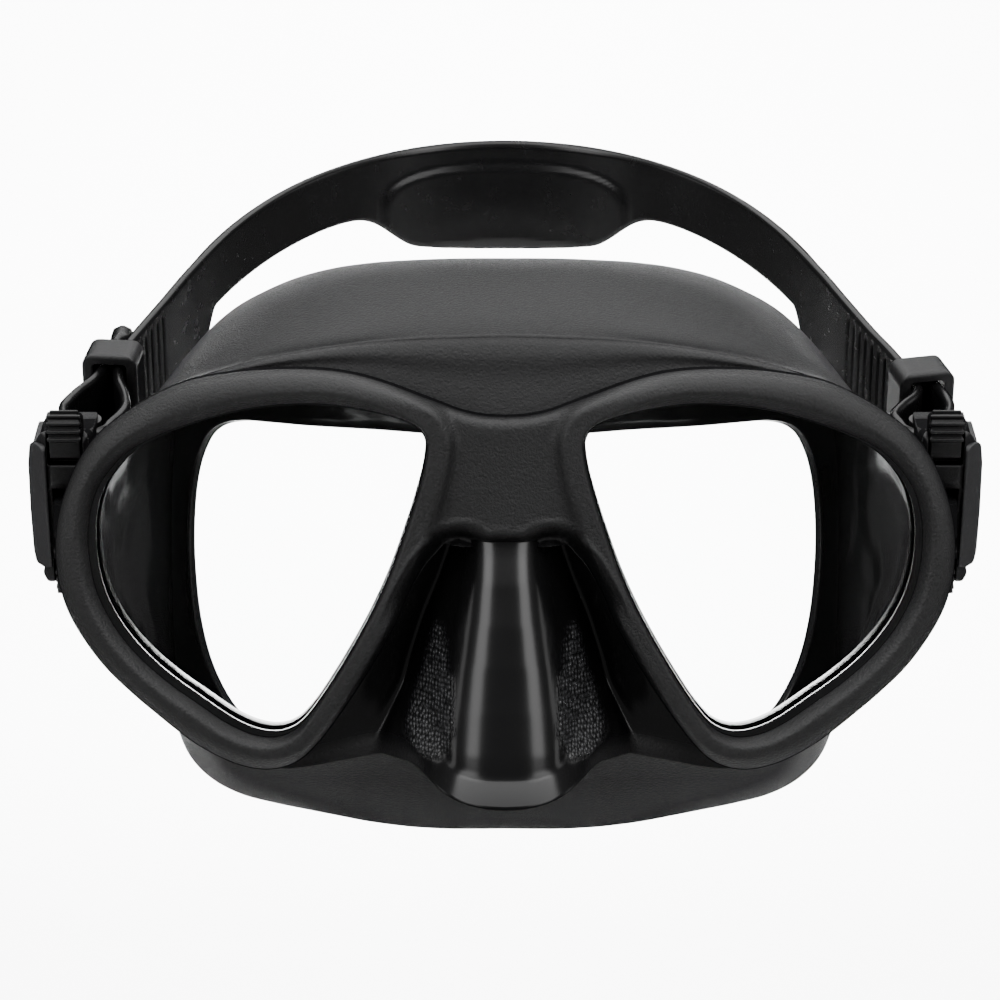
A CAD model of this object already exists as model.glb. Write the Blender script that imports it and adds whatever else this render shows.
import math

import bmesh
import bpy
import numpy as np
from mathutils import Matrix, Vector


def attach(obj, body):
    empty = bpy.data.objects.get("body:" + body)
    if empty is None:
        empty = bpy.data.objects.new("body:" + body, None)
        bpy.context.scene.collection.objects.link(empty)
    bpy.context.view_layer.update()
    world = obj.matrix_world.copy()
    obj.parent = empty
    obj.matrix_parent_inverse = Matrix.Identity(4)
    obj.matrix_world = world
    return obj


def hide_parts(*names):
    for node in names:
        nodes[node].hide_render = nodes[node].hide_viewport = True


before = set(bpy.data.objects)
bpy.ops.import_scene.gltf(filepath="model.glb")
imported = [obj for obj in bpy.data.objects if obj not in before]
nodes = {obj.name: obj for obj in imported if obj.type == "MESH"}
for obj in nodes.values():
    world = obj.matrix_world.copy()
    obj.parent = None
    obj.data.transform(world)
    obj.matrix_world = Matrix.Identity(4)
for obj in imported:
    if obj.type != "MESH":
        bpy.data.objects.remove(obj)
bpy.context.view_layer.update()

MM = 0.001
rng = np.random.default_rng(7)

# ---------------------------------------------------------------------------
# shared outlines of the +X half, in millimetres (x, z)
# ---------------------------------------------------------------------------
LENS_Y, WRAP, RAKE = -40.0, 0.105, 0.05
BACK = 6.0
FRAME_OUT = [(0, 21.9), (3.8, 22.1), (7.7, 22.9), (13.4, 25.0), (21.7, 28.0), (27.4, 29.5),
             (33.1, 30.2), (41.7, 30.2), (49.1, 29.5), (57.0, 27.9), (63.0, 25.3), (69.0, 21.6),
             (73.2, 18.2), (76.4, 14.0), (78.9, 8.7), (80.6, 3.0), (81.2, -3.0), (80.7, -8.6),
             (79.1, -14.0), (76.3, -19.1), (72.5, -24.2), (67.8, -28.8), (63.2, -32.7),
             (58.4, -36.5), (53.9, -39.4), (48.8, -41.7), (43.9, -42.7), (39.8, -42.2),
             (36.5, -40.5), (33.2, -37.0), (29.8, -32.4), (26.2, -27.0), (22.5, -21.0),
             (19.3, -15.0)]
FRAME_ARCH = [(17.9, -11.5), (16.2, -8.2), (14.2, -4.9), (12.6, -3.1), (11.1, -1.4),
              (9.6, -0.35), (7.9, 0.0), (6.2, -0.45), (4.9, -1.35), (3.4, -1.8), (1.7, -1.85), (0, -1.85)]
LENS_VIS = [(32.9, 23.9), (27.0, 23.3), (21.0, 22.1), (16.9, 20.7), (15.0, 19.3), (14.2, 17.4),
            (14.3, 15.2), (14.9, 11.9), (16.4, 6.5), (18.2, 1.0), (20.5, -5.4), (23.5, -12.2),
            (27.2, -19.2), (31.4, -26.2), (34.6, -30.9), (37.6, -34.0), (40.8, -35.2),
            (44.4, -34.9), (48.8, -33.1), (53.8, -29.8), (60.0, -25.4), (65.2, -20.7),
            (69.4, -15.3), (72.2, -9.4), (73.4, -3.4), (73.5, 2.2), (72.2, 8.0), (69.6, 12.2),
            (65.9, 15.7), (61.1, 18.3), (55.2, 20.5), (48.5, 22.4), (43.7, 23.3), (38.6, 23.8)]
# pairs of points that face each other across the rim: lens edge, outer edge
PAIRS = [((21.0, 22.1), (14.0, 25.2)), ((15.0, 19.3), (0, 21.9)), ((16.4, 6.5), (0, 9.0)),
         ((18.2, 1.0), (0, -1.85)), ((19.4, -2.4), (7.9, 0.0)), ((20.9, -6.4), (13.2, -3.7)),
         ((23.5, -12.2), (18.6, -13.0)), ((27.2, -19.2), (23.1, -22.0)), ((31.4, -26.2), (27.4, -29.0)),
         ((36.2, -32.7), (32.6, -36.3)), ((40.8, -35.2), (40.2, -42.3)), ((44.4, -34.9), (45.4, -42.5)),
         ((53.8, -29.8), (57.0, -37.4)), ((65.2, -20.7), (70.0, -26.7)), ((72.2, -9.4), (79.0, -14.2)),
         ((73.5, 2.2), (80.7, 2.6)), ((69.6, 12.2), (75.2, 15.8)), ((61.1, 18.3), (64.6, 24.5)),
         ((48.5, 22.4), (50.0, 29.4)), ((32.9, 23.9), (32.0, 30.1))]


def g_of(x):
    a = np.abs(x)
    return np.where(a > 12.0, a, a * a / 24.0 + 6.0)


def shear_y(x, y, z):
    return LENS_Y + y + WRAP * g_of(x) - RAKE * z


def spline(pts, closed=False, sub=16):
    """Centripetal Catmull-Rom through pts, densely sampled."""
    P = np.array(pts, float)
    m = len(P)
    out = []
    nseg = m if closed else m - 1
    for i in range(nseg):
        if closed:
            a, b, c, d = P[(i - 1) % m], P[i], P[(i + 1) % m], P[(i + 2) % m]
        else:
            b, c = P[i], P[i + 1]
            a = P[i - 1] if i > 0 else 2 * b - c
            d = P[i + 2] if i + 2 < m else 2 * c - b
        t0 = 0.0
        t1 = t0 + max(np.linalg.norm(b - a), 1e-6) ** 0.5
        t2 = t1 + max(np.linalg.norm(c - b), 1e-6) ** 0.5
        t3 = t2 + max(np.linalg.norm(d - c), 1e-6) ** 0.5
        for k in range(sub):
            t = t1 + (t2 - t1) * k / sub
            A1 = (t1 - t) / (t1 - t0) * a + (t - t0) / (t1 - t0) * b
            A2 = (t2 - t) / (t2 - t1) * b + (t - t1) / (t2 - t1) * c
            A3 = (t3 - t) / (t3 - t2) * c + (t - t2) / (t3 - t2) * d
            B1 = (t2 - t) / (t2 - t0) * A1 + (t - t0) / (t2 - t0) * A2
            B2 = (t3 - t) / (t3 - t1) * A2 + (t - t1) / (t3 - t1) * A3
            out.append((t2 - t) / (t2 - t1) * B1 + (t - t1) / (t2 - t1) * B2)
    if not closed:
        out.append(P[-1])
    return np.array(out)


def cum(P, closed=False):
    Q = np.vstack([P, P[:1]]) if closed else P
    return np.concatenate([[0.0], np.cumsum(np.linalg.norm(np.diff(Q, axis=0), axis=1))])


def at(P, s, closed=False):
    """Points at arclengths s along a polyline."""
    Q = np.vstack([P, P[:1]]) if closed else P
    c = cum(P, closed)
    s = np.asarray(s, float)
    if closed:
        s = np.mod(s, c[-1])
    return np.stack([np.interp(s, c, Q[:, k]) for k in range(Q.shape[1])], axis=-1)


def nearest_s(P, p, closed=False):
    Q = np.vstack([P, P[:1]]) if closed else P
    c = cum(P, closed)
    a, b = Q[:-1], Q[1:]
    d = b - a
    L2 = np.maximum((d * d).sum(1), 1e-12)
    t = np.clip(((np.asarray(p) - a) * d).sum(1) / L2, 0, 1)
    q = a + d * t[:, None]
    k = np.argmin(((q - p) ** 2).sum(1))
    return c[k] + t[k] * (c[k + 1] - c[k])


def dist_to(P, X, closed=False):
    """Distance of points X (n,2) to polyline P."""
    Q = np.vstack([P, P[:1]]) if closed else P
    a, b = Q[:-1], Q[1:]
    d = b - a
    L2 = np.maximum((d * d).sum(1), 1e-12)
    X = np.asarray(X, float)
    res = np.full(len(X), 1e9)
    for i0 in range(0, len(X), 4000):
        x = X[i0:i0 + 4000]
        t = np.clip(((x[:, None, :] - a) * d).sum(2) / L2, 0, 1)
        q = a + d * t[..., None]
        res[i0:i0 + 4000] = np.sqrt(((q - x[:, None, :]) ** 2).sum(2).min(1))
    return res


def offset_loop(P, d, closed=True):
    n = len(P)
    if closed:
        T = np.roll(P, -1, 0) - np.roll(P, 1, 0)
        x, y = P[:, 0], P[:, 1]
        area = (x * np.roll(y, -1) - np.roll(x, -1) * y).sum()
    else:
        T = np.gradient(P, axis=0)
        area = 1.0
    T /= np.linalg.norm(T, axis=1)[:, None]
    s = 1.0 if area > 0 else -1.0
    N = np.stack([s * T[:, 1], -s * T[:, 0]], 1)
    k = d(N) if callable(d) else np.full(n, d)
    return P + N * k[:, None]


def reveal(N):
    k = (N[:, 0] * 0.8 - N[:, 1] * 0.6 + 0.3) / 1.3
    return 0.25 + 1.35 * np.clip(k, 0, 1)


def sstep(a, b, x):
    t = np.clip((np.asarray(x, float) - a) / (b - a), 0, 1)
    return t * t * (3 - 2 * t)


def make(name, V, F, body, mats=(), smooth=True, attrs=None, weld=True, mirror=False, drop_x0=False):
    """Mesh object from millimetre vertices. mirror copies it across X=0 and welds the seam."""
    V = np.asarray(V, float)
    me = bpy.data.meshes.new(name)
    F = [tuple(int(i) for i in f) for f in F]
    if drop_x0:
        on = np.abs(V[:, 0]) < 1e-4
        F = [f for f in F if not all(on[i] for i in f)]
    n = len(V)
    A = dict(attrs or {})
    if mirror:
        W = V.copy()
        W[:, 0] *= -1
        F = F + [tuple(i + n for i in reversed(f)) for f in F]
        V = np.vstack([V, W])
        A = {k: np.concatenate([v, v]) for k, v in A.items()}
    me.from_pydata((V * MM).tolist(), [], F)
    for k, v in A.items():
        at_ = me.attributes.new(k, 'FLOAT', 'POINT')
        at_.data.foreach_set('value', np.asarray(v, np.float32))
    me.update()
    ob = bpy.data.objects.new(name, me)
    bpy.context.scene.collection.objects.link(ob)
    bm = bmesh.new()
    bm.from_mesh(me)
    if weld:
        bmesh.ops.remove_doubles(bm, verts=bm.verts, dist=2e-6)
    loose = [v for v in bm.verts if not v.link_faces]
    if loose:
        bmesh.ops.delete(bm, geom=loose, context='VERTS')
    bmesh.ops.recalc_face_normals(bm, faces=bm.faces)
    bm.to_mesh(me)
    bm.free()
    for p in me.polygons:
        p.use_smooth = smooth
    for m in mats:
        me.materials.append(m)
    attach(ob, body)
    return ob


def grid_faces(nu, nv, close_u=False, close_v=False, off=0):
    F = []
    for i in range(nu if close_u else nu - 1):
        for j in range(nv if close_v else nv - 1):
            a = off + i * nv + j
            b = off + ((i + 1) % nu) * nv + j
            c = off + ((i + 1) % nu) * nv + (j + 1) % nv
            d = off + i * nv + (j + 1) % nv
            F.append((a, b, c, d))
    return F


# ---------------------------------------------------------------------------
# materials
# ---------------------------------------------------------------------------
def base_mat(name):
    m = bpy.data.materials.new(name)
    m.use_nodes = True
    nt = m.node_tree
    nt.nodes.clear()
    out = nt.nodes.new("ShaderNodeOutputMaterial")
    p = nt.nodes.new("ShaderNodeBsdfPrincipled")
    nt.links.new(p.outputs[0], out.inputs[0])
    tc = nt.nodes.new("ShaderNodeTexCoord")
    return m, nt, p, tc.outputs["Object"]


def nd(nt, kind, **kw):
    n = nt.nodes.new(kind)
    for k, v in kw.items():
        setattr(n, k, v)
    return n


def noise(nt, vec, scale, detail=2.0, rough=0.5, dist=0.0):
    n = nd(nt, "ShaderNodeTexNoise")
    n.inputs["Scale"].default_value = scale
    n.inputs["Detail"].default_value = detail
    n.inputs["Roughness"].default_value = rough
    n.inputs["Distortion"].default_value = dist
    nt.links.new(vec, n.inputs["Vector"])
    return n.outputs["Fac"] if "Fac" in n.outputs else n.outputs[0]


def ramp(nt, fac, stops):
    n = nd(nt, "ShaderNodeValToRGB")
    e = n.color_ramp.elements
    e[0].position, e[0].color = stops[0][0], stops[0][1]
    e[1].position, e[1].color = stops[-1][0], stops[-1][1]
    for p, c in stops[1:-1]:
        x = e.new(p)
        x.color = c
    nt.links.new(fac, n.inputs["Fac"])
    return n.outputs["Color"]


def grey(v, a=1.0):
    return (v, v, v * 1.06, a)


def mrange(nt, fac, lo, hi, a=0.0, b=1.0):
    n = nd(nt, "ShaderNodeMapRange")
    n.inputs["From Min"].default_value = a
    n.inputs["From Max"].default_value = b
    n.inputs["To Min"].default_value = lo
    n.inputs["To Max"].default_value = hi
    nt.links.new(fac, n.inputs["Value"])
    return n.outputs["Result"]


def math_n(nt, op, a, b):
    n = nd(nt, "ShaderNodeMath", operation=op)
    for i, v in enumerate((a, b)):
        if isinstance(v, (int, float)):
            n.inputs[i].default_value = v
        else:
            nt.links.new(v, n.inputs[i])
    return n.outputs[0]


def bump(nt, height, strength, dist, normal=None):
    n = nd(nt, "ShaderNodeBump")
    n.inputs["Strength"].default_value = strength
    n.inputs["Distance"].default_value = dist
    nt.links.new(height, n.inputs["Height"])
    if normal is not None:
        nt.links.new(normal, n.inputs["Normal"])
    return n.outputs["Normal"]


def quiet_edges(nt, p, spec, at_edge, scale=None):
    """Less gloss where the surface turns edge on, so that outlines stay dark."""
    lw = nd(nt, "ShaderNodeLayerWeight")
    lw.inputs["Blend"].default_value = 0.5
    v = mrange(nt, lw.outputs["Facing"], spec, at_edge, 0.32, 0.78)
    if scale is not None:
        v = math_n(nt, "MULTIPLY", v, scale)
    nt.links.new(v, p.inputs["Specular IOR Level"])


def grained(name, dark, light, r_lo, r_hi, cell, depth, spec=0.5):
    """Moulded plastic or silicone with a fine spark-eroded grain."""
    m, nt, p, vec = base_mat(name)
    fine = noise(nt, vec, 1.0 / cell, 3.0, 0.62)
    broad = noise(nt, vec, 38.0, 2.0, 0.5)
    mixv = math_n(nt, "ADD", math_n(nt, "MULTIPLY", fine, 0.7), math_n(nt, "MULTIPLY", broad, 0.3))
    nt.links.new(ramp(nt, mixv, [(0.30, grey(dark)), (0.70, grey(light))]), p.inputs["Base Color"])
    nt.links.new(mrange(nt, mixv, r_lo, r_hi, 0.3, 0.7), p.inputs["Roughness"])
    nt.links.new(bump(nt, fine, 0.9, depth), p.inputs["Normal"])
    quiet_edges(nt, p, spec, 0.0)
    return m


def glossy(name, dark, light, r_lo, r_hi, wave=14.0, depth=0.00004, fine_scale=420.0, spec=0.5, at_edge=0.1):
    """Polished silicone or plastic with faint waviness and handling marks."""
    m, nt, p, vec = base_mat(name)
    a = noise(nt, vec, wave, 3.0, 0.55)
    b = noise(nt, vec, fine_scale, 3.0, 0.6)
    nt.links.new(ramp(nt, a, [(0.35, grey(dark)), (0.65, grey(light))]), p.inputs["Base Color"])
    nt.links.new(mrange(nt, b, r_lo, r_hi, 0.35, 0.65), p.inputs["Roughness"])
    nt.links.new(bump(nt, a, 0.25, depth), p.inputs["Normal"])
    quiet_edges(nt, p, spec, at_edge)
    return m


M_FRAME = grained("frame_black_grain", 0.002, 0.014, 0.36, 0.58, 0.00044, 0.00024, 0.52)
M_BUCKLE = grained("buckle_black_satin", 0.006, 0.014, 0.34, 0.48, 0.00034, 0.00010, 0.34)
M_COVER = grained("cover_black_satin", 0.020, 0.036, 0.40, 0.52, 0.00034, 0.00008)
M_BUTTON = grained("button_black", 0.006, 0.014, 0.36, 0.48, 0.00030, 0.00008)
M_KEEPER = grained("keeper_silicone", 0.007, 0.015, 0.34, 0.46, 0.00034, 0.00006)
M_STRAP = glossy("strap_silicone", 0.003, 0.006, 0.245, 0.275, 13.0, 0.0007, 260.0, 0.40, 0.0)
M_RETAINER = glossy("retainer_black", 0.004, 0.007, 0.16, 0.26, 40.0, 0.00002)
M_ROLLER = glossy("roller_black", 0.005, 0.009, 0.30, 0.32, 60.0, 0.00002)


def skirt_mat():
    """Silicone that goes from spark-eroded matt (gloss 0) to polished (gloss 1), with the woven pinch pads (pad 1)."""
    m, nt, p, vec = base_mat("skirt_silicone")
    gl = nd(nt, "ShaderNodeAttribute", attribute_name="gloss").outputs["Fac"]
    pad = nd(nt, "ShaderNodeAttribute", attribute_name="pad").outputs["Fac"]
    fine = noise(nt, vec, 1.0 / 0.00044, 3.0, 0.65)
    broad = noise(nt, vec, 30.0, 3.0, 0.55)
    matt = math_n(nt, "SUBTRACT", 1.0, gl)
    mixv = math_n(nt, "ADD", math_n(nt, "MULTIPLY", fine, 0.6), math_n(nt, "MULTIPLY", broad, 0.4))
    inn = nd(nt, "ShaderNodeAttribute", attribute_name="inner").outputs["Fac"]
    c_m = ramp(nt, mixv, [(0.30, grey(0.003)), (0.72, grey(0.015))])
    c_g = ramp(nt, broad, [(0.30, grey(0.003)), (0.70, grey(0.006))])
    mx = nd(nt, "ShaderNodeMix", data_type='RGBA')
    nt.links.new(gl, mx.inputs[0])
    nt.links.new(c_m, mx.inputs[6])
    mx0 = nd(nt, "ShaderNodeMix", data_type='RGBA')
    nt.links.new(inn, mx0.inputs[0])
    nt.links.new(c_g, mx0.inputs[6])
    nt.links.new(ramp(nt, broad, [(0.30, grey(0.014)), (0.70, grey(0.026))]), mx0.inputs[7])
    nt.links.new(mx0.outputs[2], mx.inputs[7])
    # pinch pads: small overlapping scales
    vor = nd(nt, "ShaderNodeTexVoronoi", feature='F1')
    mp = nd(nt, "ShaderNodeMapping")
    mp.inputs["Scale"].default_value = (1750.0, 900.0, 1150.0)
    mp.inputs["Rotation"].default_value = (0.0, 0.0, 0.0)
    nt.links.new(vec, mp.inputs["Vector"])
    nt.links.new(mp.outputs[0], vor.inputs["Vector"])
    vor.inputs["Scale"].default_value = 1.0
    vor.inputs["Randomness"].default_value = 0.45
    scale_h = mrange(nt, vor.outputs["Distance"], 1.0, 0.0, 0.0, 0.75)
    mx2 = nd(nt, "ShaderNodeMix", data_type='RGBA')
    nt.links.new(pad, mx2.inputs[0])
    nt.links.new(mx.outputs[2], mx2.inputs[6])
    nt.links.new(ramp(nt, scale_h, [(0.15, grey(0.006)), (0.55, grey(0.035)), (0.95, grey(0.13))]), mx2.inputs[7])
    nt.links.new(mx2.outputs[2], p.inputs["Base Color"])
    r_m = mrange(nt, fine, 0.44, 0.60, 0.3, 0.7)
    r_g = mrange(nt, broad, 0.18, 0.25, 0.3, 0.7)
    r = math_n(nt, "ADD", math_n(nt, "MULTIPLY", r_m, matt), math_n(nt, "MULTIPLY", r_g, gl))
    r = math_n(nt, "MAXIMUM", r, math_n(nt, "MULTIPLY", pad, 0.40))
    nt.links.new(r, p.inputs["Roughness"])
    hm = math_n(nt, "MULTIPLY", fine, matt)
    b1 = bump(nt, hm, 0.9, 0.00026)
    b2 = bump(nt, math_n(nt, "MULTIPLY", scale_h, pad), 1.0, 0.0006, b1)
    # slack folds on the inside of the side walls
    folds = noise(nt, vec, 46.0, 1.0, 0.4, 0.8)
    b3 = bump(nt, math_n(nt, "MULTIPLY", folds, inn), 0.8, 0.004, b2)
    nt.links.new(b3, p.inputs["Normal"])
    sep = nd(nt, "ShaderNodeSeparateXYZ")
    nt.links.new(vec, sep.inputs[0])
    low_z = mrange(nt, sep.outputs[2], 0.45, 1.0, -0.046, -0.038)
    quiet_edges(nt, p, 0.5, 0.06, math_n(nt, "MULTIPLY", low_z, mrange(nt, inn, 1.0, 0.85)))
    return m


M_SKIRT = skirt_mat()


def glass_mat():
    m = bpy.data.materials.new("lens_clear_glass")
    m.use_nodes = True
    nt = m.node_tree
    nt.nodes.clear()
    out = nt.nodes.new("ShaderNodeOutputMaterial")
    tr = nt.nodes.new("ShaderNodeBsdfTransparent")
    tr.inputs["Color"].default_value = (0.985, 0.992, 0.99, 1)
    gl = nt.nodes.new("ShaderNodeBsdfGlossy")
    gl.inputs["Color"].default_value = (1, 1, 1, 1)
    gl.inputs["Roughness"].default_value = 0.015
    fr = nt.nodes.new("ShaderNodeFresnel")
    fr.inputs["IOR"].default_value = 1.18
    mx = nt.nodes.new("ShaderNodeMixShader")
    nt.links.new(fr.outputs[0], mx.inputs[0])
    nt.links.new(tr.outputs[0], mx.inputs[1])
    nt.links.new(gl.outputs[0], mx.inputs[2])
    nt.links.new(mx.outputs[0], out.inputs[0])
    return m


M_GLASS = glass_mat()


def steel_mat():
    m, nt, p, vec = base_mat("pin_steel")
    p.inputs["Metallic"].default_value = 1.0
    a = noise(nt, vec, 900.0, 2.0, 0.6)
    nt.links.new(ramp(nt, a, [(0.3, (0.10, 0.10, 0.105, 1)), (0.7, (0.17, 0.17, 0.175, 1))]), p.inputs["Base Color"])
    nt.links.new(mrange(nt, a, 0.25, 0.4, 0.3, 0.7), p.inputs["Roughness"])
    return m


M_STEEL = steel_mat()

# ---------------------------------------------------------------------------
# frame
# ---------------------------------------------------------------------------
VIS = at(spline(LENS_VIS, True), np.linspace(0, cum(spline(LENS_VIS, True), True)[-1], 720, endpoint=False), True)
RIM_IN = offset_loop(VIS, reveal)
OUT_OPEN = np.vstack([spline(FRAME_OUT + FRAME_ARCH, False)])
OUT_OPEN[0, 0] = 0.0
OUT_OPEN[-1, 0] = 0.0
X0_LINE = np.stack([np.zeros(41), np.linspace(OUT_OPEN[-1, 1], OUT_OPEN[0, 1], 41)], 1)
OUT_LOOP = np.vstack([OUT_OPEN, X0_LINE[1:-1]])


def match(inner, outer, n, pairs):
    """n stations round inner with their partners on outer, both closed loops."""
    Li, Lo = cum(inner, True)[-1], cum(outer, True)[-1]
    si = np.array([nearest_s(inner, p[0], True) for p in pairs])
    so = np.array([nearest_s(outer, p[1], True) for p in pairs])
    o = np.argsort(si)
    si, so = si[o], so[o]
    # unwrap the outer arclength in the direction of travel
    d = np.diff(np.append(so, so[0]))
    sign = 1.0 if np.sum((d + Lo / 2) % Lo - Lo / 2) >= 0 else -1.0
    u = [so[0]]
    for k in range(1, len(so)):
        step = (so[k] - so[k - 1]) * sign % Lo
        u.append(u[-1] + sign * step)
    u = np.array(u)
    S = np.concatenate([si - Li, si, si + Li])
    U = np.concatenate([u - sign * Lo, u, u + sign * Lo])
    # sample evenly in a blend of both arclengths so that wide corners keep their points
    s = np.linspace(0, Li, 4000)
    uu = np.interp(s, S, U)
    w = np.concatenate([[0], np.cumsum(np.hypot(np.diff(s), 0.8 * np.diff(uu)))])
    ss = np.interp(np.linspace(0, w[-1], n, endpoint=False), w, s)
    # land exactly on the partners
    for a in si:
        k = np.argmin(np.abs(ss - a))
        ss[k] = a
    su = np.interp(ss, S, U)
    for k in range(2):
        pass
    return at(inner, ss, True), at(outer, np.mod(su, Lo), True), ss


N_RIM = 420
I_PTS, O_PTS, S_IN = match(RIM_IN, OUT_LOOP, N_RIM, PAIRS)
O_PTS[np.abs(O_PTS[:, 0]) < 0.02, 0] = 0.0
ARC_LINE = OUT_OPEN


def nose_side(P):
    """1 on the bridge and the nose legs of a rim, 0 round its outer part."""
    s = np.array([nearest_s(VIS, p, True) for p in P])
    L = cum(VIS, True)[-1]
    a = nearest_s(VIS, (24.0, 22.8), True)
    b = nearest_s(VIS, (39.6, -35.0), True)
    # VIS runs from the top towards the nose, then down the leg
    d = (s - a) % L
    span = (b - a) % L
    fade = 9.0
    up = sstep(-fade, fade, np.where(d > L / 2 + span / 2, d - L, d))
    dn = 1 - sstep(span - fade, span + fade, np.where(d > L / 2 + span / 2, d - L, d))
    return up * dn


NS = nose_side(I_PTS)
A_IN = np.array([0, 0.12, 0.3, 0.55, 0.9, 1.35, 1.8, 2.2, 2.6, 3.0, 3.4, 3.9])
B_OUT = np.array([0, 0.05, 0.16, 0.36, 0.65, 1.0, 1.45, 1.95, 2.35, 2.7, 2.95, 3.2, 3.5, 3.9])
N_MID = 7
front_rows = []
for i in range(N_RIM):
    p, q = I_PTS[i], O_PTS[i]
    w = np.linalg.norm(q - p)
    ka = min(1.0, 0.52 * w / A_IN[-1])
    kb = min(1.0, 0.42 * w / B_OUT[-1])
    t = np.concatenate([A_IN * ka, np.linspace(A_IN[-1] * ka, w - B_OUT[-1] * kb, N_MID + 2)[1:-1], (w - B_OUT * kb)[::-1]]) / w
    front_rows.append(p + (q - p) * t[:, None])
front = np.array(front_rows)                       # (N, K, 2)
K = front.shape[1]
flat = front.reshape(-1, 2)
dI = dist_to(VIS, flat, True) - 0.0
dRim = dist_to(RIM_IN, flat, True)
dO = dist_to(OUT_OPEN, flat)
ns = np.repeat(NS, K)
arch_w = sstep(-17.0, -9.0, flat[:, 1]) * (1 - sstep(21.0, 25.0, flat[:, 0])) * (1 - sstep(8.0, 12.0, flat[:, 1]))


def frame_front(dR, dOut, nsv, archv, x, z):
    crest = -3.6
    # outer part of the rim: a ridge near the lens side, then a broad round shoulder
    wb = 2.3 * (1 - nsv) + 0.55 * nsv
    y_edge = -1.15 * (1 - nsv) - 2.3 * nsv
    t = np.clip(dR / wb, 0, 1)
    y = y_edge + (crest - y_edge) * (1 - (1 - t) ** 1.7)
    # round the ridge
    # shoulder over the outer edge
    R = 4.6 * (1 - nsv) + 2.4 * nsv
    V_ = 4.4 * (1 - nsv) + 3.0 * nsv
    q = np.clip((R - dOut) / R, 0, 1)
    y = y + V_ * (1 - np.sqrt(np.clip(1 - q ** 2.3, 0, 1)))
    # dished bridge and legs beside the flat band
    band = 3.3
    y = y + nsv * 2.3 * sstep(band, band + 2.6, dR)
    # undercut bevel of the nose arch with a thin raised line above it
    ab = 3.0
    k = np.clip((ab - dOut) / ab, 0, 1)
    y = y + archv * nsv * (-0.42 * np.exp(-((dOut - ab - 0.20) / 0.34) ** 2) + 2.3 * sstep(0, 1, k) + 0.4 * k)
    return y


yF = frame_front(dRim, dO, ns, arch_w, flat[:, 0], flat[:, 1])
yF = np.minimum(yF, 3.0)
Vfront = np.stack([flat[:, 0], shear_y(flat[:, 0], yF, flat[:, 1]), flat[:, 1]], 1).reshape(N_RIM, K, 3)
rows = [Vfront]
y_out = yF.reshape(N_RIM, K)[:, -1]
for f in (0.25, 0.55, 0.85):
    yy = y_out + (BACK - y_out) * f
    P = front[:, -1]
    rows.append(np.stack([P[:, 0], shear_y(P[:, 0], yy, P[:, 1]), P[:, 1]], 1)[:, None, :])
for f in (0.0, 0.05, 0.3, 0.6, 0.9, 1.0):
    P = front[:, -1] + (front[:, 0] - front[:, -1]) * f
    yy = np.full(N_RIM, BACK)
    if f == 0.0:
        yy -= 0.25
    rows.append(np.stack([P[:, 0], shear_y(P[:, 0], yy, P[:, 1]), P[:, 1]], 1)[:, None, :])
P = front[:, 0]
y_in = yF.reshape(N_RIM, K)[:, 0]
for f in (0.5,):
    yy = BACK + (y_in - BACK) * f
    rows.append(np.stack([P[:, 0], shear_y(P[:, 0], yy, P[:, 1]), P[:, 1]], 1)[:, None, :])
VF = np.concatenate(rows, axis=1)
nv = VF.shape[1]
ob_frame = make("frame_moulding", VF.reshape(-1, 3), grid_faces(N_RIM, nv, True, True), "mask", [M_FRAME],
                mirror=True, drop_x0=True)
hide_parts("frame")

# ---------------------------------------------------------------------------
# skirt
# ---------------------------------------------------------------------------
def face_y(x, z):
    return 0.0058 * x * x + 0.09 * z - 2.0


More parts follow.
